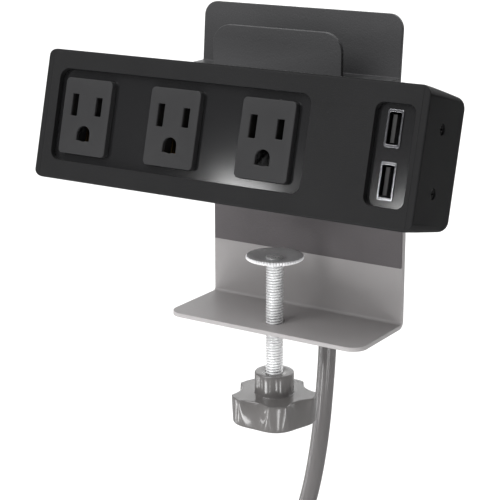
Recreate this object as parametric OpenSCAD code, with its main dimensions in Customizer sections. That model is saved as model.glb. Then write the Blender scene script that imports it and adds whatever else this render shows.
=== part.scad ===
// Desk power strip on a screw clamp, with a phone channel behind it.
// Millimetres, +Z up, X along the strip, the user sits on the -Y side.
// The origin is the middle of the upper jaw's pad, on the desk's top.
// The clamp is drawn on a desk 24 mm thick. Every piece is its own module.

/* [Strip housing] */
// Length of the strip over its end caps
strip_len = 183.4; // [180:0.2:190]
// Height of the front face
face_h = 55.9; // [54:0.1:58]
// Depth of the housing from front to rear
body_d = 32.7; // [32:0.1:33.5]
// How far the front face leans back, in degrees
tilt = 14.6; // [13.5:0.1:15.5]
// Thickness of each end cap
cap_t = 3; // [2.6:0.1:3.4]
// Thickness of the front wall, which is the depth of the pockets
front_t = 2.7; // [2.4:0.1:3]
// Thickness of the other walls
wall = 2.2; // [1.8:0.1:2.6]

/* [Outlets] */
// Distance from one outlet to the next
pitch = 45.2; // [44.5:0.1:46]
// Middle of the middle outlet from the middle of the strip
mid_x = -22.6; // [-24:0.1:-21]
// Width of a raised outlet face
face_w = 24.1; // [23:0.1:25]
// Height of a raised outlet face
face_t = 32; // [31:0.1:33]
// Distance between the two blade slots
slot_gap = 12.7; // [12.5:0.1:12.9]

/* [USB ports] */
// Middle of the ports from the middle of the strip
usb_x = 77.3; // [76.5:0.1:78]
// Height of the upper and lower port from the middle of the face
usb_v = 10.1; // [9.8:0.1:10.6]

/* [Clamp] */
// Width of the steel clamp frame and of the phone channel
steel_w = 99; // [96:1:104]
// Radius on the free corners of the lower jaw
jaw_r = 7; // [5:0.5:11]

/* [Screw and knob] */
// Radius of the screw over its thread
screw_r = 3.95; // [3.95:0.01:3.97]
// Radius of the pressure disc
disc_r = 12.9; // [12:0.1:14]
// Radius of the knob over its five lobes
knob_r = 19.5; // [19:0.1:20]
// Radius of the knob's hub
hub_r = 8.85; // [8.4:0.05:9.2]

/* [Mains lead] */
// Diameter of the lead
lead_d = 8.6; // [8.2:0.1:8.8]

/* [Hidden] */
$fn = 48;

half = strip_len / 2;
top_v = face_h / 2;
// Where the middle of the front face stands
face_y = -51.3;
face_z = 37.8;
outlets = [mid_x - pitch, mid_x, mid_x + pitch];
// Height of the slots, and of the ground hole's middle, from the face's middle
slot_v = 4.8;
pin_v = -7.2;
// Pocket edges: left, right, bottom, top
pocket = [-84, 41.4, -19.7, 20];
usb_pocket = [69.5, 86.7, -19.8, 20];
// Steel sheet and the radius inside its bends
sheet = 2;
bend = 1.4;
// Clamp lines: the front and the back of the upright, the front of the lower jaw
up_y = 20.3;
back_y = up_y + sheet;
jaw_y = -18.9;
// From the upper jaw's pad down to the top of the lower jaw
jaw_h = 54.9;
screw_y = -6.2;
// Floor of the phone channel
floor_z = 56;
holder_y = 11.7;
tab_y = -6.4;
// Places of the screws and rivets
cap_screw_v = [-12.2, 12.6];
cap_screw_d = 14.4;
strip_screw = [[-34, 13], [34, 13], [-34, -9], [34, -9]];
rivet_x = 38;
// Pressure disc and knob heights
disc_z = -23.9;
hub_z = -78.1;
star_z = -88.1;
knob_z = -100.6;
// Mains lead: its route, the round coil, and the tail with the plug below it
gland_len = 64;
coil_r = 47;
coil_y = 55;
coil_z = -232;
tail = [-50.8, 50.65];
route = [[0, 10.6, 21.6], [0, 14.5, 20.6], [0, 23.6, 16.9], [0, 31.2, 11],
  [0, 37.1, 3.4], [0, 40.7, -5.5], [0, 42, -15], [0, 42, -32], [0, 42, -48],
  [0, 42, -64], [0, 42, -80], [-0.5, 42, -92], [-1.3, 42, -104], [-2.4, 42, -118],
  [-4, 42, -132], [-6.2, 42, -146], [-8.9, 42, -159], [-12.7, 42, -172],
  [-18, 42, -184], [-24.6, 42, -193.5], [-31.2, 42.1, -202], [-37.4, 42.6, -210.4]];

// ---------- helpers ----------

module rounded(w, h, r) {
  square([w - 2 * r, h], center = true);
  square([w, h - 2 * r], center = true);
  for (sx = [-1, 1]) for (sy = [-1, 1])
    translate([sx * (w / 2 - r), sy * (h / 2 - r)]) circle(r);
}

// A shape drawn in Y and Z, carried along X
module along_x(x0, len) {
  translate([x0, 0, 0]) rotate([90, 0, 90]) linear_extrude(len) children();
}

// A shape drawn in X and Z, carried toward +Y
module along_y(y0, len) {
  translate([0, y0 + len, 0]) rotate([90, 0, 0]) linear_extrude(len) children();
}

// The strip's own frame: X along it, +Y into it, +Z up its leaning face
module in_strip() {
  translate([0, face_y, face_z]) rotate([-tilt, 0, 0]) children();
}

function arc(cx, cy, r, a0, a1) =
  [for (i = [0:6]) [cx + r * cos(a0 + (a1 - a0) * i / 6), cy + r * sin(a0 + (a1 - a0) * i / 6)]];

// End profile of the housing, in depth and height, shrunk by g, front at f
module profile(g, f, rf, rr) {
  polygon(concat(
    arc(f + rf, -top_v + g + rf, rf, 180, 270),
    arc(body_d - g - rr, -top_v + 1.3 + g + rr, rr, 270, 360),
    arc(body_d - g - rr, top_v - 1.8 - g - rr, rr, 0, 90),
    arc(f + rf, top_v - g - rf, rf, 90, 180)));
}

// Outer form of the housing with its ends
module housing_form(x0, len) {
  intersection() {
    along_x(x0, len) profile(0, 0, 1, 6.5);
    along_y(-1, body_d + 2) rounded(strip_len, face_h, 4.2);
    translate([0, body_d / 2, -top_v - 1]) linear_extrude(face_h + 2)
      rounded(strip_len, body_d, 0.8);
  }
}

module pocket_cut(p, r) {
  translate([(p[0] + p[1]) / 2, 0, (p[2] + p[3]) / 2])
    along_y(-1, front_t + 2) rounded(p[1] - p[0], p[3] - p[2], r);
}

// ---------- housing ----------

module housing_body() {
  color([0.16, 0.16, 0.17]) in_strip() difference() {
    union() {
      difference() {
        housing_form(-half + cap_t, strip_len - 2 * cap_t);
        along_x(-half, strip_len) profile(wall, front_t, 1, 3);
      }
      // Screw posts for the end caps, each on a rib from the rear wall
      for (s = [-1, 1]) for (v = cap_screw_v) {
        translate([s > 0 ? half - cap_t - 6 : -half + cap_t, 0, 0]) {
          translate([0, cap_screw_d, v]) rotate([0, 90, 0]) cylinder(h = 6, r = 3.4);
          translate([0, cap_screw_d, v - 1]) cube([6, body_d - wall - cap_screw_d + 0.5, 2]);
        }
      }
      // Posts for the screws that hold the bracket
      for (p = strip_screw)
        translate([p[0], body_d - wall - 7, p[1]]) rotate([-90, 0, 0])
          cylinder(h = 7.5, r = 4);
    }
    pocket_cut(pocket, 4.4);
    pocket_cut(usb_pocket, 3.5);
    for (s = [-1, 1]) for (v = cap_screw_v)
      translate([s * (half - cap_t + 1), cap_screw_d, v]) rotate([0, -s * 90, 0])
        cylinder(h = 8, r = 1.5);
    for (p = strip_screw)
      translate([p[0], body_d - 9.5, p[1]]) rotate([-90, 0, 0]) cylinder(h = 12, r = 2);
    translate([0, body_d - 6, 0]) rotate([-90, 0, 0]) cylinder(h = 8, r = 7);
  }
}

module end_cap(s) {
  in_strip() difference() {
    housing_form(s > 0 ? half - cap_t : -half, cap_t);
    for (v = cap_screw_v) translate([s * half, cap_screw_d, v]) rotate([0, -s * 90, 0]) {
      translate([0, 0, -1]) cylinder(h = 2.9, r = 2.2);
      cylinder(h = cap_t + 1, r = 1.5);
    }
  }
}

module end_cap_left() {
  color([0.16, 0.16, 0.17]) end_cap(-1);
}

module end_cap_right() {
  color([0.16, 0.16, 0.17]) end_cap(1);
}

module cap_screws() {
  color([0.1, 0.1, 0.1]) in_strip() for (s = [-1, 1]) for (v = cap_screw_v)
    translate([s * (half - 0.6), cap_screw_d, v]) rotate([0, -s * 90, 0]) difference() {
      union() {
        cylinder(h = 1.3, r = 2.1);
        cylinder(h = 7.5, r = 1.5);
      }
      for (a = [0, 90]) rotate([0, 0, a]) translate([-1.3, -0.3, -1]) cube([2.6, 0.6, 1.8]);
    }
}

// ---------- outlets ----------

module outlet_tray() {
  color([0.07, 0.07, 0.08]) in_strip() difference() {
    translate([(pocket[0] + pocket[1]) / 2, 0, (pocket[2] + pocket[3]) / 2])
      along_y(front_t, 1.8) rounded(pocket[1] - pocket[0] + 4, pocket[3] - pocket[2] + 4, 3);
    for (x = outlets) translate([x, 0, 0])
      along_y(front_t - 1, 4) rounded(face_w + 0.9, face_t + 0.9, 2.1);
  }
}

// One outlet: a raised face with drafted sides, on a hollow body
module receptacle(x) {
  color([0.2, 0.2, 0.21]) in_strip() translate([x, 0, 0]) difference() {
    along_y(0, front_t + 15) rounded(face_w + 0.7, face_t + 0.7, 2);
    // Blade slots: the wide one on the left, the narrow one on the right
    translate([-slot_gap / 2, 0, slot_v]) along_y(-1, 4) square([3, 9.4], center = true);
    translate([slot_gap / 2, 0, slot_v]) along_y(-1, 4) square([3, 7.9], center = true);
    // Ground hole, round above and flat below
    translate([0, 0, pin_v]) along_y(-1, 4) {
      circle(3.3);
      translate([-3.3, -3]) square([6.6, 3]);
    }
    // Contact chambers, open at the back
    for (s = [-1, 1]) translate([s * slot_gap / 2, 0, slot_v]) along_y(1.6, 18)
      square([5, 11.4], center = true);
    translate([0, 0, pin_v]) along_y(1.6, 18) square([7.4, 7.4], center = true);
  }
}

module receptacle_1() {
  receptacle(outlets[0]);
}

module receptacle_2() {
  receptacle(outlets[1]);
}

module receptacle_3() {
  receptacle(outlets[2]);
}

// A flat bar behind the outlets with a pair of contact leaves for each
module contact_bar(dx, leaf_v, bar_v, gap) {
  x0 = outlets[0] + dx - 4;
  color([0.8, 0.62, 0.28]) in_strip() {
    translate([x0, 19, bar_v[0]]) cube([2 * pitch + 8, 0.8, bar_v[1] - bar_v[0]]);
    for (x = outlets) for (s = [-1, 1])
      translate([x + dx + s * gap - 0.25, 6, leaf_v[0]])
        cube([0.5, 13.8, leaf_v[1] - leaf_v[0]]);
  }
}

module hot_bar() {
  contact_bar(slot_gap / 2, [2.5, 9.5], [8.8, 13], 1.2);
}

module neutral_bar() {
  contact_bar(-slot_gap / 2, [0, 8], [-3, 1], 1.2);
}

module ground_bar() {
  contact_bar(0, [-10.4, -4.2], [-13, -9], 2.7);
}

// Three insulated conductors from the gland to the bars
module inner_leads() {
  color([0.2, 0.5, 0.25]) in_strip() for (p = [[-4.5, 10.9], [0, -1], [4.5, -11]]) {
    translate([p[0], 19.8, p[1]]) rotate([-90, 0, 0]) cylinder(h = 6.2, r = 1.5, $fn = 24);
    translate([p[0], 26, p[1]]) sphere(r = 1.5, $fn = 24);
    if (abs(p[1]) > 2)
      translate([p[0], 26, min(p[1], 0)]) cylinder(h = abs(p[1]), r = 1.5, $fn = 24);
    translate([p[0], 26, 0]) sphere(r = 1.5, $fn = 24);
    translate([p[0], 26, p[1] * (abs(p[1]) > 2 ? 0 : 1)]) rotate([-90, 0, 0])
      cylinder(h = 2.35, r = 1.5, $fn = 24);
  }
}

// ---------- USB ----------

module usb_tray() {
  color([0.07, 0.07, 0.08]) in_strip() difference() {
    translate([78.1, 0, 0.1]) along_y(front_t, 1.8) rounded(20.4, 43.8, 3);
    for (s = [-1, 1]) translate([usb_x, 0, s * usb_v + 0.3])
      along_y(front_t - 1, 4) square([6, 13.4], center = true);
  }
}

// Folded steel shell of one port with a flared lip, open at the front
module usb_port(v) {
  color([0.75, 0.76, 0.78]) in_strip() translate([usb_x, 0, v]) difference() {
    union() {
      along_y(front_t - 0.5, 0.5) rounded(6.8, 14.6, 0.8);
      along_y(front_t, 13) rounded(5.8, 13.2, 0.6);
    }
    along_y(0, 15.4) rounded(5.1, 12.5, 0.5);
  }
}

module usb_tongue(v) {
  color([0.1, 0.1, 0.11]) in_strip() translate([usb_x, 0, v]) {
    translate([-1.9, 4, -5.5]) cube([1.9, 9, 11]);
    translate([-2.5, 13, -6.2]) cube([5, 2.4, 12.4]);
  }
}

module usb_port_upper() {
  usb_port(usb_v + 0.3);
}

module usb_port_lower() {
  usb_port(-usb_v + 0.3);
}

module usb_tongue_upper() {
  usb_tongue(usb_v + 0.3);
}

module usb_tongue_lower() {
  usb_tongue(-usb_v + 0.3);
}

module usb_board() {
  color([0.1, 0.35, 0.2]) in_strip() translate([61, 16.2, -21]) cube([21, 1.6, 42]);
}

module usb_converter() {
  color([0.75, 0.68, 0.3]) in_strip() {
    translate([66, 17.8, -6]) cube([13, 10, 13]);
    translate([70, 17.8, -14.5]) rotate([-90, 0, 0]) cylinder(h = 10.5, r = 4);
    translate([70, 17.8, 14]) rotate([-90, 0, 0]) cylinder(h = 10.5, r = 4);
  }
}

// ---------- steelwork ----------

// Front of the bracket's web: 0.05 mm behind the housing's rear face
function rear_y(z) = face_y + (body_d + 0.05 + (z - face_z) * sin(tilt)) / cos(tilt);

// Bent bracket behind the housing: a leaning web between two flanges
module strip_bracket() {
  foot_z = 1 + sheet;
  head_z = floor_z - 2 * sheet;
  o = sheet / cos(tilt);
  color([0.2, 0.2, 0.21]) difference() {
    along_x(-45, 90) polygon([[rear_y(foot_z), foot_z], [17, foot_z], [17, foot_z + sheet],
      [rear_y(foot_z + sheet) + o, foot_z + sheet], [rear_y(head_z) + o, head_z],
      [12, head_z], [12, head_z + sheet], [rear_y(head_z + sheet), head_z + sheet]]);
    in_strip() {
      translate([0, body_d - 5, 0]) rotate([-90, 0, 0]) cylinder(h = 12, r = 7);
      for (p = strip_screw)
        translate([p[0], body_d - 5, p[1]]) rotate([-90, 0, 0]) cylinder(h = 12, r = 2.1);
    }
    for (s = [-1, 1]) {
      for (y = [-12, 9]) translate([s * rivet_x, y, 2]) cylinder(h = 6, r = 2);
      for (y = [-1, 7]) translate([s * rivet_x, y, 50]) cylinder(h = 6, r = 2);
    }
  }
}

module bracket_screws() {
  color([0.1, 0.1, 0.1]) in_strip() for (p = strip_screw)
    translate([p[0], body_d - 8.5, p[1]]) rotate([-90, 0, 0]) difference() {
      union() {
        cylinder(h = 8.5 + sheet + 0.2, r = 2);
        translate([0, 0, 8.5 + sheet + 0.1]) cylinder(h = 2.2, r = 3.8);
      }
      for (a = [0, 90]) rotate([0, 0, a])
        translate([-2, -0.45, 9.8 + sheet]) cube([4, 0.9, 2]);
    }
}

// Channel for a phone: a low tab in front, a floor and a leaning back plate
module holder_channel() {
  color([0.24, 0.24, 0.25]) difference() {
    union() {
      along_y(tab_y, sheet) {
        translate([-31.8, floor_z - sheet]) square([63.6, sheet + 10.9]);
        translate([-23.3, floor_z - sheet]) square([46.6, sheet + 19.4]);
        for (s = [-1, 1]) translate([s * 23.3, floor_z + 10.9]) circle(8.5);
      }
      translate([-steel_w / 2, tab_y, floor_z - sheet])
        cube([steel_w, holder_y + sheet - tab_y, sheet]);
      translate([0, holder_y, floor_z - sheet]) rotate([-4.5, 0, 0]) along_y(0, sheet) {
        translate([-steel_w / 2, 0]) square([steel_w, 22]);
        translate([-steel_w / 2 + 6.5, 0]) square([steel_w - 13, 28.5]);
        for (s = [-1, 1]) translate([s * (steel_w / 2 - 6.5), 22]) circle(6.5);
      }
    }
    // Countersunk holes, so that the floor stays flat
    for (s = [-1, 1]) for (y = [-1, 7]) translate([s * rivet_x, y, floor_z]) {
      translate([0, 0, -8]) cylinder(h = 8, r = 2);
      translate([0, 0, -1.3]) cylinder(h = 1.4, r1 = 2, r2 = 3.4);
    }
  }
}

module holder_rivets() {
  color([0.1, 0.1, 0.1]) for (s = [-1, 1]) for (y = [-1, 7])
    translate([s * rivet_x, y, floor_z - 2 * sheet - 1.1]) {
      cylinder(h = 1.1, r = 3.4);
      cylinder(h = 2 * sheet + 1, r = 2);
      translate([0, 0, 2 * sheet - 0.2]) cylinder(h = 1.3, r1 = 2, r2 = 3.3);
    }
}

// Bent clamp frame: upper jaw, upright and lower jaw from one sheet
module clamp_frame() {
  ro = bend + sheet;
  color([0.54, 0.52, 0.53]) difference() {
    union() {
      along_x(-steel_w / 2, steel_w) {
        translate([-19, 1]) square([back_y - ro + 19, sheet]);
        translate([up_y, -jaw_h + bend]) square([sheet, jaw_h + 1 - 2 * bend]);
        translate([jaw_y, -jaw_h - sheet]) square([back_y - ro - jaw_y, sheet]);
        translate([up_y - bend, 1 - bend]) intersection() {
          difference() {
            circle(ro);
            circle(bend);
          }
          square([ro, ro]);
        }
        translate([up_y - bend, -jaw_h + bend]) intersection() {
          difference() {
            circle(ro);
            circle(bend);
          }
          translate([0, -ro]) square([ro, ro]);
        }
      }
    }
    // Rounded free corners of the lower jaw
    for (s = [-1, 1]) translate([s * (steel_w / 2 - jaw_r), jaw_y + jaw_r, -jaw_h - 4])
      difference() {
        translate([s > 0 ? 0 : -20, -20, 0]) cube([20, 20, 6]);
        translate([0, 0, -1]) cylinder(h = 8, r = jaw_r);
      }
    translate([0, screw_y, -jaw_h - 4]) cylinder(h = 6, r = 5.5);
    for (s = [-1, 1]) for (y = [-12, 9])
      translate([s * rivet_x, y, 0]) cylinder(h = 6, r = 2);
  }
}

module jaw_rivets() {
  color([0.1, 0.1, 0.1]) for (s = [-1, 1]) for (y = [-12, 9])
    translate([s * rivet_x, y, 1]) {
      cylinder(h = 2 * sheet + 0.2, r = 2);
      translate([0, 0, 2 * sheet + 0.1]) cylinder(h = 1.1, r = 3.4);
    }
}

// Foam pads that keep the steel off the desk
module jaw_pad() {
  color([0.12, 0.12, 0.12]) linear_extrude(1) rounded(95, 36, 3);
}

module edge_pad() {
  color([0.38, 0.36, 0.37]) translate([0.6 - steel_w / 2, up_y - 0.8, -29.1])
    cube([steel_w - 1.2, 0.8, 28.1]);
}

// Threaded bush pressed into the lower jaw
module screw_bush() {
  color([0.7, 0.7, 0.72]) translate([0, screw_y, -jaw_h - sheet]) difference() {
    union() {
      cylinder(h = sheet, r = 5.5);
      translate([0, 0, -1]) cylinder(h = 1, r = 7.5);
    }
    translate([0, 0, -2]) cylinder(h = 6, r = screw_r + 0.05);
  }
}

// ---------- moving pieces ----------

// Dished pressure disc, held on the screw's neck and free to turn on it
module press_disc() {
  color([0.7, 0.71, 0.73]) translate([0, screw_y, disc_z]) rotate_extrude() polygon([
    [2.55, -3.4], [6, -3.4], [disc_r, -1.5], [disc_r, 0], [10.5, 0], [5.5, -1.5],
    [2.55, -1.5]]);
}

module clamp_screw() {
  color([0.75, 0.76, 0.78]) translate([0, screw_y, 0]) {
    translate([0, 0, knob_z + 1.6]) cylinder(h = disc_z - 3.5 - knob_z - 1.6, r = screw_r);
    translate([0, 0, disc_z - 3.6]) cylinder(h = 2.3, r = 2.5);
    translate([0, 0, disc_z - 1.4]) cylinder(h = 1, r = 4);
  }
}

// Knob with five lobes: the flutes between them are deeper at the top
module star_knob() {
  color([0.43, 0.41, 0.41]) translate([0, screw_y, 0]) difference() {
    union() {
      translate([0, 0, star_z - 0.5]) cylinder(h = hub_z - star_z + 0.5, r = hub_r);
      translate([0, 0, knob_z]) cylinder(h = star_z - knob_z, r = knob_r);
    }
    for (i = [0:4]) rotate([0, 0, 54 + 72 * i]) translate([knob_r + 10.9, 0, knob_z])
      rotate([0, -9, 0]) translate([0, 0, -5]) cylinder(h = 26, r = 13);
    translate([0, 0, knob_z + 1.6]) cylinder(h = 30, r = screw_r);
  }
}

// ---------- mains lead ----------

// Strain relief: clamped in the rear wall and the bracket, then tapering
module cord_gland() {
  color([0.08, 0.08, 0.08]) in_strip() rotate([-90, 0, 0]) rotate_extrude() polygon([
    [0, 28.4], [9, 28.4], [9, 30.4], [6.95, 30.4], [6.95, 34.8], [9, 34.8], [9, 36.4],
    [7.6, 37.2], [5.4, gland_len], [0, gland_len]]);
}

function unit(v) = v / norm(v);
function along(p, i) = unit(i == 0 ? p[1] - p[0] :
  i == len(p) - 1 ? p[i] - p[i - 1] : p[i + 1] - p[i - 1]);

// A round tube swept through points that stay close to one upright plane
module tube(p, r, n) {
  pts = [for (i = [0:len(p) - 1]) let (t = along(p, i), a = unit(cross(t, [1, 0.3, 0])),
      b = cross(t, a)) for (k = [0:n - 1])
      p[i] + r * cos(360 * k / n) * a + r * sin(360 * k / n) * b];
  last = len(p) - 1;
  sides = [for (i = [0:last - 1]) for (k = [0:n - 1])
    [i * n + k, (i + 1) * n + k, (i + 1) * n + (k + 1) % n, i * n + (k + 1) % n]];
  polyhedron(points = pts, faces = concat(sides,
    [[for (k = [0:n - 1]) k]], [[for (k = [n - 1:-1:0]) last * n + k]]));
}

module cord_lead() {
  color([0.42, 0.4, 0.4]) tube(route, lead_d / 2, 12);
}

// Five turns of the lead, tied, as one plain ring hung below the clamp
module cord_coil() {
  color([0.42, 0.4, 0.4]) translate([0, coil_y, coil_z]) rotate([90, 0, 0])
    rotate_extrude($fn = 72) translate([coil_r, 0]) rounded(16.4, 26, 4);
}

module coil_tie() {
  color([0.1, 0.1, 0.1]) translate([coil_r, coil_y, coil_z]) difference() {
    cube([21, 30.4, 12], center = true);
    cube([18.4, 27.6, 14], center = true);
  }
}

module cord_tail() {
  color([0.42, 0.4, 0.4]) translate([tail[0], tail[1], -297]) cylinder(h = 65, r = lead_d / 2);
}

// Moulded three-pin plug, hanging with its pins down
module plug_body() {
  color([0.42, 0.4, 0.4]) translate([tail[0], tail[1], 0]) difference() {
    union() {
      translate([0, 0, -303]) cylinder(h = 16, r1 = 8, r2 = 5.6);
      translate([0, 0, -325]) linear_extrude(22) rounded(27, 25, 6);
    }
    translate([0, 0, -297.1]) cylinder(h = 12, r = lead_d / 2 + 0.05);
    for (s = [-1, 1]) translate([s * 6.35 - 0.8, -8.15, -326]) cube([1.6, 6.4, 1.4]);
    translate([0, 7, -326]) cylinder(h = 1.4, r = 2.45);
  }
}

module plug_pins() {
  color([0.75, 0.76, 0.78]) translate([tail[0], tail[1], 0]) {
    for (s = [-1, 1]) translate([s * 6.35 - 0.75, -8.1, -342]) cube([1.5, 6.3, 17.35]);
    translate([0, 7, -345]) cylinder(h = 20.35, r = 2.4);
  }
}

housing_body();
end_cap_left();
end_cap_right();
cap_screws();
outlet_tray();
receptacle_1();
receptacle_2();
receptacle_3();
hot_bar();
neutral_bar();
ground_bar();
inner_leads();
usb_tray();
usb_port_upper();
usb_port_lower();
usb_tongue_upper();
usb_tongue_lower();
usb_board();
usb_converter();
strip_bracket();
bracket_screws();
holder_channel();
holder_rivets();
clamp_frame();
jaw_rivets();
jaw_pad();
edge_pad();
screw_bush();
press_disc();
clamp_screw();
star_knob();
cord_gland();
cord_lead();
cord_coil();
coil_tie();
cord_tail();
plug_body();
plug_pins();
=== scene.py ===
"""Looks of the desk power strip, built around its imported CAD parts.

Metres, +Z up, X along the strip, the user on the -Y side. The origin is the
middle of the upper jaw's pad. Pieces come in the order they are assembled.
"""
import math

import bmesh
import bpy
from mathutils import Matrix, Vector


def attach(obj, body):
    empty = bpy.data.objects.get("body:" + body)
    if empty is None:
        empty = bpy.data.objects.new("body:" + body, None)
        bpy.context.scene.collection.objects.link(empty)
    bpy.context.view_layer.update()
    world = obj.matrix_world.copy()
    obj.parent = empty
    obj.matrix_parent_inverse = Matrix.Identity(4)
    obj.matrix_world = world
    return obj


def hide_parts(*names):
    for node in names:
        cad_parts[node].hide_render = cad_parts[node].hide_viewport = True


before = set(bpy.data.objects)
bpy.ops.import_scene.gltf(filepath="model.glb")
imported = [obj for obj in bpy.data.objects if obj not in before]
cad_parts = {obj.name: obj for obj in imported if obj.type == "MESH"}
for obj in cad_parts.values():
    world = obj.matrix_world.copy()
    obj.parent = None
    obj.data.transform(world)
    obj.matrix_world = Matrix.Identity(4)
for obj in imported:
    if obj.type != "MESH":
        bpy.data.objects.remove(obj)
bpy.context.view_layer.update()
scene = bpy.context.scene
MM = 0.001

# ---------------------------------------------------------------------------
# Camera: a long lens a little above the strip and to its right, level.
# ---------------------------------------------------------------------------
lens = bpy.data.cameras.new("view")
lens.sensor_width = 36.0
lens.lens = 108.77
lens.clip_start = 0.02
lens.clip_end = 60.0
camera = bpy.data.objects.new("view", lens)
ahead = Vector((-0.51703, 0.81213, -0.27042)).normalized()
right = ahead.cross(Vector((0, 0, 1))).normalized()
up = right.cross(ahead)
camera.matrix_world = Matrix((
    (right.x, up.x, -ahead.x, 0.333709),
    (right.y, up.y, -ahead.y, -0.550726),
    (right.z, up.z, -ahead.z, 0.157683),
    (0, 0, 0, 1)))
scene.collection.objects.link(camera)
scene.camera = camera
scene.view_settings.view_transform = "Standard"


# ---------------------------------------------------------------------------
# Studio: a pale floor far below the clamp, a wall behind, one broad sun from
# the front left and a dim sky. Small lights draw the glints and the streaks on
# the glossy pieces, and a dark panel keeps the right end in shade.
# ---------------------------------------------------------------------------
def surface(name, color, rough, metal=0.0, spec=0.5, grain=0.1, grain_scale=2400.0,
            vary=0.1, vary_scale=45.0, wear=0.0, wear_color=(0.35, 0.35, 0.35), coat=0.0):
    """A finish with clouded colour, uneven gloss, a fine grain and rubbed edges."""
    mat = bpy.data.materials.new(name)
    mat.use_nodes = True
    tree = mat.node_tree
    node, link = tree.nodes.new, tree.links.new
    shader = tree.nodes["Principled BSDF"]
    shader.inputs["Metallic"].default_value = metal
    shader.inputs["Specular IOR Level"].default_value = spec
    shader.inputs["Coat Weight"].default_value = coat
    shader.inputs["Coat Roughness"].default_value = 0.08
    where = node("ShaderNodeTexCoord")
    cloud = node("ShaderNodeTexNoise")
    cloud.inputs["Scale"].default_value = vary_scale
    cloud.inputs["Detail"].default_value = 4.0
    link(where.outputs["Object"], cloud.inputs["Vector"])
    tint = node("ShaderNodeValToRGB")
    tint.color_ramp.elements[0].position = 0.3
    tint.color_ramp.elements[0].color = [c * (1 - vary) for c in color] + [1]
    tint.color_ramp.elements[1].position = 0.7
    tint.color_ramp.elements[1].color = [min(1, c * (1 + vary)) for c in color] + [1]
    link(cloud.outputs["Fac"], tint.inputs["Fac"])
    fine = node("ShaderNodeTexNoise")
    fine.inputs["Scale"].default_value = grain_scale
    fine.inputs["Detail"].default_value = 2.0
    link(where.outputs["Object"], fine.inputs["Vector"])
    gloss = node("ShaderNodeMapRange")
    gloss.inputs["From Min"].default_value = 0.3
    gloss.inputs["From Max"].default_value = 0.7
    gloss.inputs["To Min"].default_value = max(0.02, rough * 0.88)
    gloss.inputs["To Max"].default_value = min(1.0, rough * 1.12)
    link(cloud.outputs["Fac"], gloss.inputs["Value"])
    link(gloss.outputs["Result"], shader.inputs["Roughness"])
    bump = node("ShaderNodeBump")
    bump.inputs["Strength"].default_value = grain
    bump.inputs["Distance"].default_value = 0.0002
    link(fine.outputs["Fac"], bump.inputs["Height"])
    link(bump.outputs["Normal"], shader.inputs["Normal"])
    out = tint.outputs["Color"]
    if wear:
        form = node("ShaderNodeNewGeometry")
        edge = node("ShaderNodeMapRange")
        edge.inputs["From Min"].default_value = 0.53
        edge.inputs["From Max"].default_value = 0.62
        edge.inputs["To Max"].default_value = wear
        link(form.outputs["Pointiness"], edge.inputs["Value"])
        rub = node("ShaderNodeMix")
        rub.data_type = "RGBA"
        rub.inputs["B"].default_value = [*wear_color, 1]
        link(edge.outputs["Result"], rub.inputs["Factor"])
        link(out, rub.inputs["A"])
        out = rub.outputs["Result"]
    link(out, shader.inputs["Base Color"])
    return mat


def lamp(name, place, aim, size, power, tall):
    """An area light at a place, turned to face a point."""
    data = bpy.data.lights.new(name, "AREA")
    data.energy = power
    data.size = size
    data.shape = "RECTANGLE"
    data.size_y = tall
    light = bpy.data.objects.new(name, data)
    light.location = place
    light.rotation_euler = (Vector(aim) - Vector(place)).to_track_quat("-Z", "Y").to_euler()
    scene.collection.objects.link(light)


def panel(name, corners, mat):
    """A flat four-sided piece of the studio."""
    mesh = bpy.data.meshes.new(name)
    mesh.from_pydata(corners, [], [(0, 1, 2, 3)])
    made = bpy.data.objects.new(name, mesh)
    scene.collection.objects.link(made)
    made.data.materials.append(mat)
    return made


sun_data = bpy.data.lights.new("sun", "SUN")
sun_data.energy = 2.5
sun_data.angle = math.radians(48)
sun = bpy.data.objects.new("sun", sun_data)
sun.rotation_euler = Vector((0.27, 0.61, -0.73)).to_track_quat("-Z", "Y").to_euler()
scene.collection.objects.link(sun)
lamp("glint_left", (-0.589, -1.005, 0.243), (0.015, -0.053, 0.019), 0.06, 0.1, tall=0.02)
lamp("glint_right", (-0.41, -1.06, 0.258), (0.083, -0.053, 0.021), 0.03, 0.05, tall=0.02)
# Each streak light: its angle round the knob in degrees, its width and its power
streaks = ((-108, 0.11, 0.45), (-47, 0.06, 0.22), (-84, 0.02, 0.06), (-134, 0.03, 0.1),
           (-157, 0.05, 0.18), (-176, 0.03, 0.1), (-24, 0.05, 0.18))
STREAK_AWAY = 0.5
for index, (turn, wide, power) in enumerate(streaks):
    spin = math.radians(turn)
    lamp(f"streak_{index}", (STREAK_AWAY * math.cos(spin), STREAK_AWAY * math.sin(spin), -0.268),
         (0, 0, -0.14), wide, power, tall=0.14)

sky = bpy.data.worlds.new("studio")
scene.world = sky
sky.use_nodes = True
sky_nodes = sky.node_tree
ray = sky_nodes.nodes.new("ShaderNodeLightPath")
shade = sky_nodes.nodes.new("ShaderNodeMix")
shade.data_type = "RGBA"
shade.inputs["A"].default_value = (0.7, 0.7, 0.7, 1)
shade.inputs["B"].default_value = (0.16, 0.16, 0.165, 1)
sky_nodes.links.new(ray.outputs["Is Glossy Ray"], shade.inputs["Factor"])
sky_nodes.links.new(shade.outputs["Result"], sky_nodes.nodes["Background"].inputs["Color"])

FLOOR_Z = -0.349
floor_white = surface("floor_white", (0.93, 0.93, 0.93), 0.9, spec=0.1, grain=0.02, vary=0.01,
                      vary_scale=3)
floor = panel("floor", [(-9, -9, FLOOR_Z), (9, -9, FLOOR_Z), (9, 14, FLOOR_Z), (-9, 14, FLOOR_Z)],
              floor_white)
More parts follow.
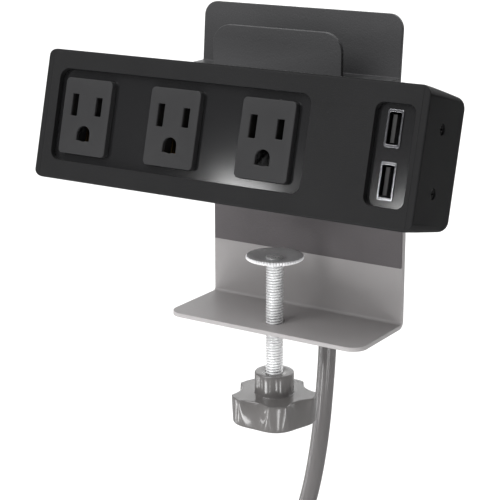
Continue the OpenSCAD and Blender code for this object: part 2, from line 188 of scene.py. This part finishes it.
# Seen in glossy pieces, the floor is as dim as the rest of the studio.
floor_ray = floor_white.node_tree.nodes.new("ShaderNodeLightPath")
dim = floor_white.node_tree.nodes.new("ShaderNodeMix")
dim.data_type = "RGBA"
dim.inputs["B"].default_value = (0.3, 0.3, 0.3, 1)
floor_shader = floor_white.node_tree.nodes["Principled BSDF"]
floor_white.node_tree.links.new(floor_shader.inputs["Base Color"].links[0].from_socket,
                                dim.inputs["A"])
floor_white.node_tree.links.new(floor_ray.outputs["Is Glossy Ray"], dim.inputs["Factor"])
floor_white.node_tree.links.new(dim.outputs["Result"], floor_shader.inputs["Base Color"])
wall = panel("wall", [(-9, 6, FLOOR_Z), (9, 6, FLOOR_Z), (9, 6, 5), (-9, 6, 5)],
             surface("wall_white", (0.93, 0.93, 0.93), 0.9, spec=0.1, grain=0.02, vary=0.01,
                     vary_scale=3))
# The camera does not see the dark panel.
flag = panel("flag", [(0.25, -0.3, 0), (0.25, 0.4, 0), (0.25, 0.4, 0.4), (0.25, -0.3, 0.4)],
             surface("flag_black", (0.02, 0.02, 0.02), 0.9, spec=0.1, grain=0.02, vary=0.05,
                     vary_scale=3))
flag.visible_camera = False


# ---------------------------------------------------------------------------
# Mains lead: an 8.6 mm round lead in glossy PVC. It leaves the rear of the
# strip, bends down behind the clamp, and its spare length is a tied coil.
# ---------------------------------------------------------------------------
def flowing(points, steps):
    """Points on a smooth line through the given points."""
    out = []
    ends = [points[0] * 2 - points[1]] + list(points) + [points[-1] * 2 - points[-2]]
    for i in range(1, len(ends) - 2):
        a, b, c, d = ends[i - 1:i + 3]
        for k in range(steps):
            t = k / steps
            out.append(0.5 * (2 * b + (c - a) * t + (2 * a - 5 * b + 4 * c - d) * t * t
                              + (3 * b - a - 3 * c + d) * t * t * t))
    return out + [points[-1]]


LEAD_D = 8.6
COIL = Vector((0, 55, -232))
route = [Vector(p) for p in (
    (0, 10.6, 21.6), (0, 14.5, 20.6), (0, 23.6, 16.9), (0, 31.2, 11), (0, 37.1, 3.4),
    (0, 40.7, -5.5), (0, 42, -15), (0, 42, -32), (0, 42, -48), (0, 42, -64), (0, 42, -80),
    (-0.5, 42, -92), (-1.3, 42, -104), (-2.4, 42, -118), (-4, 42, -132), (-6.2, 42, -146),
    (-8.9, 42, -159), (-12.7, 42, -172), (-18, 42, -184), (-24.6, 42, -193.5),
    (-31.2, 42.1, -202))]
# Each lay of the coil: radius and offset along Y. Three inside, then two outside.
lays = [(43.2, -8.7), (43.2, 0.0), (43.2, 8.7), (50.8, 4.4), (50.8, -4.35)]
turns = []
for step in range(0, 1831, 10):
    angle = 150 + step
    # A lay gives way to the next between 40 and 100 degrees of each turn
    passed = (angle - 40) / 360.0
    lay = min(4, int(passed))
    blend = 1.0 if lay == 0 else min(1.0, max(0.0, (passed - lay) * 360.0 / 60.0))
    blend = blend * blend * (3 - 2 * blend)
    before = lays[max(0, lay - 1)]
    ring = before[0] + (lays[lay][0] - before[0]) * blend
    side = before[1] + (lays[lay][1] - before[1]) * blend
    if step < 100:
        side -= 4.35 * (1 - step / 100.0) ** 2
    theta = math.radians(angle)
    turns.append(COIL + Vector((ring * math.cos(theta), side, ring * math.sin(theta))))
tail = [Vector((-50.8, 50.65, z)) for z in (-240, -255, -270, -285, -297)]
line = [p * MM for p in flowing(route + turns + tail, 3)]
lead_curve = bpy.data.curves.new("mains_lead", "CURVE")
lead_curve.dimensions = "3D"
lead_curve.bevel_depth = LEAD_D / 2 * MM
lead_curve.bevel_resolution = 7
lead_curve.use_fill_caps = True
spline = lead_curve.splines.new("POLY")
spline.points.add(len(line) - 1)
for point, place in zip(spline.points, line):
    point.co = (*place, 1)
spline.use_smooth = True
mains_lead = bpy.data.objects.new("mains_lead", lead_curve)
scene.collection.objects.link(mains_lead)
lead_finish = surface("lead_pvc", (0.125, 0.119, 0.119), 0.15, spec=0.55, grain=0.05,
                      grain_scale=900, vary=0.05, vary_scale=30)
lead_curve.materials.append(lead_finish)
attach(mains_lead, "strip")
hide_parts("cord_lead", "cord_coil", "cord_tail")


# ---------------------------------------------------------------------------
# Plug: PVC moulded over three pins, with a waist for the fingers and a
# ribbed relief round the lead. It hangs on the lead's tail, pins down.
# ---------------------------------------------------------------------------
def piece(name, verts, faces, mat, body="strip", sharp=40.0):
    """A mesh object in the row frame, smooth apart from its sharp edges."""
    mesh = bpy.data.meshes.new(name)
    mesh.from_pydata([tuple(v) for v in verts], [], faces)
    mesh.validate()
    mesh.polygons.foreach_set("use_smooth", [True] * len(mesh.polygons))
    mesh.set_sharp_from_angle(angle=math.radians(sharp))
    mesh.materials.append(mat)
    made = bpy.data.objects.new(name, mesh)
    scene.collection.objects.link(made)
    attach(made, body)
    return made


def skin(rings, close_start=True, close_end=True):
    """Vertices and faces of a tube over rings with equal counts."""
    n = len(rings[0])
    verts = [p for ring in rings for p in ring]
    faces = [(r * n + k, r * n + (k + 1) % n, (r + 1) * n + (k + 1) % n, (r + 1) * n + k)
             for r in range(len(rings) - 1) for k in range(n)]
    if close_start:
        faces.append(tuple(reversed(range(n))))
    if close_end:
        last = (len(rings) - 1) * n
        faces.append(tuple(last + k for k in range(n)))
    return verts, faces


def slab_ring(cx, cy, z, w, d, r, n=12):
    """A rounded rectangle at one height, in millimetres, n points a corner."""
    ring = []
    for q, (sx, sy) in enumerate(((1, 1), (-1, 1), (-1, -1), (1, -1))):
        for k in range(n):
            a = math.radians(90 * q + 90 * k / (n - 1))
            ring.append(Vector((cx + sx * (w / 2 - r) + r * math.cos(a),
                                cy + sy * (d / 2 - r) + r * math.sin(a), z)) * MM)
    return ring


px, py = -50.8, 50.65
plug_rings = [slab_ring(px, py, -285.9, 9.2, 9.2, 4.55),
              slab_ring(px, py, -286.6, 10.6, 10.6, 5.25)]
for k in range(5):
    z, w = -287.6 - 3.0 * k, 11.4 + 0.9 * k
    plug_rings += [slab_ring(px, py, z, w, w, w / 2 - 0.05),
                   slab_ring(px, py, z - 1.5, w + 0.3, w + 0.3, w / 2),
                   slab_ring(px, py, z - 1.8, w - 1.6, w - 1.6, w / 2 - 0.9),
                   slab_ring(px, py, z - 2.7, w - 1.4, w - 1.4, w / 2 - 0.8)]
for z, w, d, r in ((-303.0, 17, 16.6, 7.9), (-303.8, 21, 19.5, 7.5), (-305.2, 24.2, 22.4, 6.8),
                   (-307.5, 25.2, 23.4, 6.2), (-312, 24.4, 22.0, 6), (-317, 25.0, 22.8, 6),
                   (-320.5, 26.6, 24.6, 6), (-321.5, 26.95, 24.95, 6), (-324.2, 26.95, 24.95, 6),
                   (-324.8, 26.5, 24.5, 5.8), (-325, 25.6, 23.6, 5.4)):
    plug_rings.append(slab_ring(px, py, z, w, d, r))
plug_finish = surface("plug_pvc", (0.13, 0.124, 0.123), 0.42, grain=0.25, grain_scale=1500,
                      vary=0.08, wear=0.25, wear_color=(0.22, 0.21, 0.21))
plug = piece("plug", *skin([list(reversed(r)) for r in plug_rings]), plug_finish)
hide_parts("plug_body")


# ---------------------------------------------------------------------------
# Plug pins: two flat blades and a round ground pin in nickelled brass,
# pressed into the moulding. Their edges are broken as on real blades.
# ---------------------------------------------------------------------------
KEEN = math.radians(32)


def eased(node, name, width, mat, segments=2):
    """A copy of a CAD node whose sharp edges are rounded off and whose flats stay flat."""
    bm = bmesh.new()
    bm.from_mesh(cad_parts[node].data)
    bmesh.ops.remove_doubles(bm, verts=bm.verts, dist=2e-6)
    bmesh.ops.dissolve_limit(bm, angle_limit=math.radians(0.8), verts=bm.verts, edges=bm.edges)
    keen = [e for e in bm.edges if len(e.link_faces) == 2
            and e.calc_face_angle(0) > KEEN]
    bmesh.ops.bevel(bm, geom=keen, offset=width * MM, offset_type="OFFSET", segments=segments,
                    profile=0.5, affect="EDGES", clamp_overlap=False)
    bm.normal_update()
    lean = [sum((f.normal * (f.calc_area() * 1e6) for f in v.link_faces), Vector())
            for v in bm.verts]
    mesh = bpy.data.meshes.new(name)
    bm.to_mesh(mesh)
    bm.free()
    mesh.polygons.foreach_set("use_smooth", [True] * len(mesh.polygons))
    mesh.normals_split_custom_set_from_vertices([v.normalized() for v in lean])
    mesh.materials.append(mat)
    made = bpy.data.objects.new(name, mesh)
    scene.collection.objects.link(made)
    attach(made, "strip")
    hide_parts(node)
    return made


nickel = surface("nickel_brass", (0.72, 0.69, 0.6), 0.24, metal=1.0, grain=0.06,
                 grain_scale=1800, vary=0.08, vary_scale=120)
eased("plug_pins", "plug_blades", 0.25, nickel)

# ---------------------------------------------------------------------------
# Coil tie: a woven hook-and-loop strap, 12 mm wide, round all five turns.
# Its free end is laid back over itself on the outer side.
# ---------------------------------------------------------------------------
strap_rings = []
# The rings run up the outer side and back down the inner one, 1.15 mm further in.
rims = ((-5.6, 0.35), (-5.2, 0.0), (5.2, 0.0), (5.6, 0.35))
for inset, edges in ((0.0, rims), (1.15, rims[::-1])):
    for edge in edges:
        extra = edge[1] if inset == 0 else -edge[1]
        ring = []
        for q, (sx, sy) in enumerate(((1, 1), (-1, 1), (-1, -1), (1, -1))):
            for k in range(8):
                a = math.radians(90 * q + 90 * k / 7)
                r = 4.5 - inset - extra
                ring.append(Vector((46.85 + sx * (10.2 - 4.5) + r * math.cos(a),
                                    55 + sy * (14.9 - 4.5) + r * math.sin(a),
                                    -232 + edge[0])) * MM)
        strap_rings.append(ring)
verts, faces = skin(strap_rings, False, False)
n = len(strap_rings[0])
last = (len(strap_rings) - 1) * n
faces += [(last + k, last + (k + 1) % n, (k + 1) % n, k) for k in range(n)]
lap = len(verts)
for x, z in ((57.08, -5.0), (57.4, -4.6), (57.4, 4.6), (57.08, 5.0)):
    verts += [Vector((x, 45.5, -232 + z)) * MM, Vector((x, 62.5, -232 + z)) * MM]
faces += [(lap + 2 * k, lap + 2 * k + 1, lap + 2 * k + 3, lap + 2 * k + 2) for k in range(3)]
faces += [(lap, lap + 2, lap + 4, lap + 6), (lap + 7, lap + 5, lap + 3, lap + 1),
          (lap, lap + 6, lap + 7, lap + 1)]
strap_finish = surface("strap_weave", (0.02, 0.02, 0.021), 0.85, spec=0.3, grain=0.9,
                       grain_scale=1300, vary=0.3, vary_scale=900)
strap = piece("strap", verts, faces, strap_finish)
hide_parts("coil_tie")


# ---------------------------------------------------------------------------
# Housing: a hollow black plastic body with a fine matte grain, leaning back,
# with a shallow pocket for the outlets and one for the USB ports.
# ---------------------------------------------------------------------------
def dress(node, mat):
    """Gives a CAD node that stays in view its finish."""
    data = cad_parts[node].data
    data.materials.clear()
    data.materials.append(mat)


housing_finish = surface("housing_black", (0.0168, 0.0168, 0.0173), 0.5, spec=0.06, grain=0.35,
                         grain_scale=1900, vary=0.08, vary_scale=25, wear=0.15,
                         wear_color=(0.07, 0.07, 0.072))
housing = eased("housing_body", "housing", 0.12, housing_finish)

# ---------------------------------------------------------------------------
# End caps: plates that close the two ends, each held by two recessed
# cross-head screws. They are moulded in the same black as the housing.
# ---------------------------------------------------------------------------
for side in ("left", "right"):
    eased("end_cap_" + side, "cap_" + side, 0.12, housing_finish)
screw_black = surface("screw_black", (0.02, 0.02, 0.021), 0.35, metal=0.6, grain=0.1,
                      vary=0.15, vary_scale=300)
eased("cap_screws", "end_screws", 0.12, screw_black, segments=1)

# ---------------------------------------------------------------------------
# Pocket floors: polished black plates behind the housing's front wall. The
# outlets and the ports stand through them.
# ---------------------------------------------------------------------------
tray_finish = surface("tray_gloss", (0.011, 0.011, 0.0115), 0.11, spec=0.5, grain=0.01,
                      grain_scale=500, vary=0.06, vary_scale=20, coat=0.2)
for node, name in (("outlet_tray", "outlet_floor"), ("usb_tray", "usb_floor")):
    eased(node, name, 0.12, tray_finish)

# ---------------------------------------------------------------------------
# Outlets: three separate satin mouldings, each with a wide left slot, a
# narrow right slot and a round-topped ground hole over brass contacts.
# ---------------------------------------------------------------------------
outlet_finish = surface("outlet_satin", (0.028, 0.028, 0.029), 0.42, spec=0.2, grain=0.12,
                        grain_scale=1600, vary=0.05, vary_scale=30, wear=0.2,
                        wear_color=(0.09, 0.09, 0.092))
for k in (1, 2, 3):
    eased(f"receptacle_{k}", f"outlet_{k}", 0.45, outlet_finish)
brass = surface("contact_brass", (0.5, 0.36, 0.14), 0.35, metal=1.0, grain=0.1,
                vary=0.15, vary_scale=200)
for k in ("hot_bar", "neutral_bar", "ground_bar"):
    dress(k, brass)
dress("inner_leads", surface("wire_green", (0.03, 0.2, 0.07), 0.4, grain=0.1, vary=0.1))

# ---------------------------------------------------------------------------
# USB ports: folded steel shells with flared lips and black tongues, on the
# charger board behind the second pocket.
# ---------------------------------------------------------------------------
port_finish = surface("port_steel", (0.42, 0.42, 0.44), 0.13, metal=1.0, grain=0.05,
                      grain_scale=2500, vary=0.06, vary_scale=300)
tongue_finish = surface("tongue_black", (0.02, 0.02, 0.02), 0.4, grain=0.1, vary=0.1)
for k in ("upper", "lower"):
    eased(f"usb_port_{k}", f"usb_shell_{k}", 0.12, port_finish)
    eased(f"usb_tongue_{k}", f"usb_blade_{k}", 0.2, tongue_finish)
dress("usb_board", surface("board_green", (0.01, 0.09, 0.04), 0.3, grain=0.2,
                           grain_scale=1200, vary=0.3, vary_scale=700))
dress("usb_converter", surface("tape_yellow", (0.5, 0.36, 0.06), 0.45, grain=0.3,
                               grain_scale=900, vary=0.2, vary_scale=250))

# ---------------------------------------------------------------------------
# Steelwork: three folded sheets, 2 mm thick. The bracket and the channel are
# dark grey powder coat, the clamp frame a lighter warm grey. Rivets are black.
# ---------------------------------------------------------------------------
dark_coat = surface("coat_dark", (0.056, 0.056, 0.058), 0.42, spec=0.33, grain=0.5,
                    grain_scale=1500, vary=0.07, vary_scale=22, wear=0.35,
                    wear_color=(0.16, 0.16, 0.165))
eased("strip_bracket", "bracket", 0.25, dark_coat)
eased("holder_channel", "phone_channel", 0.25, dark_coat)
warm_coat = surface("coat_warm", (0.36, 0.345, 0.345), 0.45, spec=0.4, grain=0.5,
                    grain_scale=1500, vary=0.05, vary_scale=22, wear=0.4,
                    wear_color=(0.4, 0.385, 0.385))
eased("clamp_frame", "clamp", 0.22, warm_coat)
eased("bracket_screws", "strip_screws", 0.25, screw_black)
eased("jaw_rivets", "clamp_rivets", 0.5, screw_black, segments=3)
eased("holder_rivets", "channel_rivets", 0.1, dark_coat)

# ---------------------------------------------------------------------------
# Pads: thin closed-cell foam. One lies under the upper jaw, on the desk, and
# one on the upright, where the desk's edge comes to rest.
# ---------------------------------------------------------------------------
foam = surface("foam_black", (0.03, 0.03, 0.03), 0.9, spec=0.2, grain=1.0,
               grain_scale=1100, vary=0.2, vary_scale=500)
eased("jaw_pad", "top_pad", 0.25, foam)
band = surface("foam_grey", (0.125, 0.116, 0.12), 0.8, spec=0.25, grain=0.6,
               grain_scale=1300, vary=0.06, vary_scale=60)
eased("edge_pad", "edge_band", 0.2, band)

# ---------------------------------------------------------------------------
# Bush: turned steel with the M8 thread inside, pressed into the lower jaw and
# powder coated together with it, so its top hardly shows.
# ---------------------------------------------------------------------------
eased("screw_bush", "bush", 0.15, warm_coat)


# ---------------------------------------------------------------------------
# Pressure disc: a plated steel pressing that grips the desk from below. It is
# dished on top and its rim is knurled. It turns freely on the screw's neck.
# ---------------------------------------------------------------------------
def turned(profile, count, cx, cy, teeth=0, cut=0.0, rim=99.0):
    """Rings of a turned piece round a vertical axis, from (radius, height)."""
    rings = []
    for r, z in profile:
        ring = []
        for k in range(count):
            a = 2 * math.pi * k / count
            dip = cut * (0.5 + 0.5 * math.cos(teeth * a)) if r >= rim else 0.0
            ring.append(Vector((cx + (r - dip) * math.cos(a), cy + (r - dip) * math.sin(a),
                                z)) * MM)
        rings.append(ring)
    return rings


AXIS_Y = -6.2
disc_profile = [(2.6, -25.4), (5.0, -25.4), (6.4, -25.25), (9.4, -24.3), (10.6, -24.02),
                (11.9, -23.95), (12.3, -23.93), (12.7, -24.05), (12.88, -24.4), (12.88, -25.1),
                (12.6, -25.45), (11.9, -25.75), (6.4, -27.15), (5.9, -27.3), (2.6, -27.3)]
disc_chrome = surface("disc_chrome", (0.92, 0.92, 0.93), 0.36, metal=0.35, grain=0.04,
                      grain_scale=1500, vary=0.08, vary_scale=150)
disc = piece("foot_disc", *skin(turned(disc_profile + disc_profile[:1], 360, 0, AXIS_Y, teeth=60,
                                       cut=0.42, rim=12.6), False, False),
             disc_chrome, body="disc", sharp=30)
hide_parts("press_disc")

# ---------------------------------------------------------------------------
# Clamp screw: bright zinc-plated M8 with a 1.25 mm pitch, right-handed. A
# thin neck passes through the disc to a riveted head above it.
# ---------------------------------------------------------------------------
PITCH, CREST, ROOT = 1.25, 3.94, 3.17
count, per_turn = 48, 12
low, high = -98.9, -27.5
verts, faces = [], []
rows = int((high - low) / PITCH * per_turn)
for j in range(rows + 1):
    z = low + (high - low) * j / rows
    ease = min(1.0, (high - z) / 1.4)
    for k in range(count):
        phase = (z / PITCH - k / count) % 1.0
        tooth = min(1.0, max(0.0, 1.2 - 2.4 * abs(phase - 0.5)))
        r = ROOT + (CREST - ROOT) * tooth * ease
        a = 2 * math.pi * k / count
        verts.append(Vector((r * math.cos(a), AXIS_Y + r * math.sin(a), z)) * MM)
for j in range(rows):
    for k in range(count):
        m = (k + 1) % count
        faces.append((j * count + k, j * count + m, (j + 1) * count + m, (j + 1) * count + k))
faces.append(tuple(reversed(range(count))))
faces.append(tuple(rows * count + k for k in range(count)))
neck_verts, neck_faces = skin(turned([(2.5, -27.6), (2.5, -25.35), (3.9, -25.28), (4.0, -25.1),
                                      (3.9, -24.75), (3.3, -24.45), (2.0, -24.32)], 48, 0, AXIS_Y))
shift = len(verts)
verts += neck_verts
faces += [tuple(shift + v for v in f) for f in neck_faces]
zinc = surface("screw_zinc", (0.93, 0.935, 0.94), 0.27, metal=0.45, grain=0.05,
               grain_scale=2500, vary=0.04, vary_scale=200)
screw = piece("thread_rod", verts, faces, zinc, body="screw", sharp=60)
# A darker second finish for the thread's roots: painted shade in the hollows between the crests.
screw.data.materials.append(surface("thread_root_painted_shade", (0.34, 0.34, 0.35), 0.45, metal=0.6,
                                    grain=0.1, vary=0.1, vary_scale=200))
# Faces near the roots of the thread take the darker finish, which paints the shade there.
for face in screw.data.polygons[:rows * count]:
    middle = face.center / MM
    phase = (middle.z / PITCH - math.atan2(middle.y - AXIS_Y, middle.x) / (2 * math.pi)) % 1.0
    face.material_index = int(abs(phase - 0.5) > 0.41)
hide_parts("clamp_screw")


# ---------------------------------------------------------------------------
# Knob: glossy grey plastic moulded round the screw's end, with five lobes, a
# flat top, a tall round hub, and flutes that are deepest at the top.
# ---------------------------------------------------------------------------
KNOB_Z, KNOB_TALL, LOBE_AT = -100.6, 12.5, math.radians(54)


def star_ring(z, inset, count=300):
    """The knob's outline at one height, drawn in by a few tenths of a mm."""
    t = (z - KNOB_Z) / KNOB_TALL
    reach, away = 19.45, 30.4 - 2.0 * t
    ring = []
    for k in range(count):
        a = 2 * math.pi * k / count
        off = (a - LOBE_AT + math.pi / 5) % (2 * math.pi / 5) - math.pi / 5
        cut = 169 - (away * math.sin(off)) ** 2
        flute = away * math.cos(off) - math.sqrt(max(cut, 0.0)) + 9 * max(0.0, -cut) ** 0.5
        near = min(1.0, max(0.0, 0.5 + (flute - reach) / 3.2))
        scoop = flute * (1 - near) + reach * near - 1.2 * near * (1 - near)
        wave = 19.25 * (1 - 0.046 * (1 + math.cos(5 * (a - LOBE_AT))))
        r = wave + (scoop - wave) * t - inset
        ring.append(Vector((r * math.cos(a), AXIS_Y + r * math.sin(a), z)) * MM)
    return ring


knob_rings = turned([(0.5, -99.4), (8.0, -99.4), (8.6, -99.7), (9.0, -100.4), (9.3, -100.6)],
                    300, 0, AXIS_Y)
knob_rings += [star_ring(-100.6, 1.1), star_ring(-100.55, 0.7), star_ring(-100.35, 0.3),
               star_ring(-100.0, 0.06), star_ring(-99.5, 0.0)]
knob_rings += [star_ring(-99.5 + 1.79 * k, 0.0) for k in range(1, 6)]
knob_rings += [star_ring(-88.55, 0.0), star_ring(-88.3, 0.06), star_ring(-88.17, 0.2),
               star_ring(-88.1, 0.5), star_ring(-88.1, 0.9)]
knob_rings += turned([(9.5, -88.1), (9.05, -88.02), (8.87, -87.7), (8.85, -87.2), (8.85, -83),
                      (8.85, -78.75), (8.78, -78.4), (8.6, -78.18), (8.3, -78.1), (4.5, -78.1),
                      (4.15, -78.25), (4.05, -78.6), (4.05, -84)], 300, 0, AXIS_Y)
knob_gloss = surface("knob_gloss", (0.115, 0.11, 0.108), 0.17, spec=0.6, grain=0.03,
                     grain_scale=600, vary=0.05, vary_scale=40, coat=0.3)
knob = piece("knob", *skin(knob_rings, True, False), knob_gloss, body="screw", sharp=35)
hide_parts("star_knob")

# ---------------------------------------------------------------------------
# Gland: black rubber strain relief, clamped in the housing's rear wall and
# the bracket. Its taper is ribbed so that it bends with the lead.
# ---------------------------------------------------------------------------
LEAN = math.radians(14.6)
gland_profile = [(0.4, 28.4), (8.8, 28.4), (9.0, 28.7), (9.0, 30.2), (8.8, 30.4), (6.9, 30.4),
                 (6.9, 34.8), (8.7, 34.8), (9.0, 35.1), (9.0, 36.0), (8.7, 36.4), (7.7, 36.9),
                 (7.5, 37.6), (7.4, 39.2)]
for k in range(8):
    d = 39.6 + 2.8 * k
    r = 7.35 - 0.235 * k
    gland_profile += [(r - 1.2, d), (r - 1.25, d + 1.0), (r - 0.05, d + 1.2), (r - 0.15, d + 2.5)]
gland_profile += [(5.35, 62.3), (5.3, 63.3), (5.1, 63.8), (4.5, 64.0), (0.4, 64.0)]
gland_rings = []
for r, d in gland_profile:
    ring = []
    for k in range(64):
        a = -2 * math.pi * k / 64
        v = r * math.sin(a)
        ring.append(Vector((r * math.cos(a), -51.3 + d * math.cos(LEAN) + v * math.sin(LEAN),
                            37.8 - d * math.sin(LEAN) + v * math.cos(LEAN))) * MM)
    gland_rings.append(ring)
rubber = surface("gland_rubber", (0.025, 0.025, 0.026), 0.6, spec=0.3, grain=0.3,
                 grain_scale=1400, vary=0.12, vary_scale=80)
gland = piece("gland", *skin(gland_rings), rubber)
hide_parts("cord_gland")
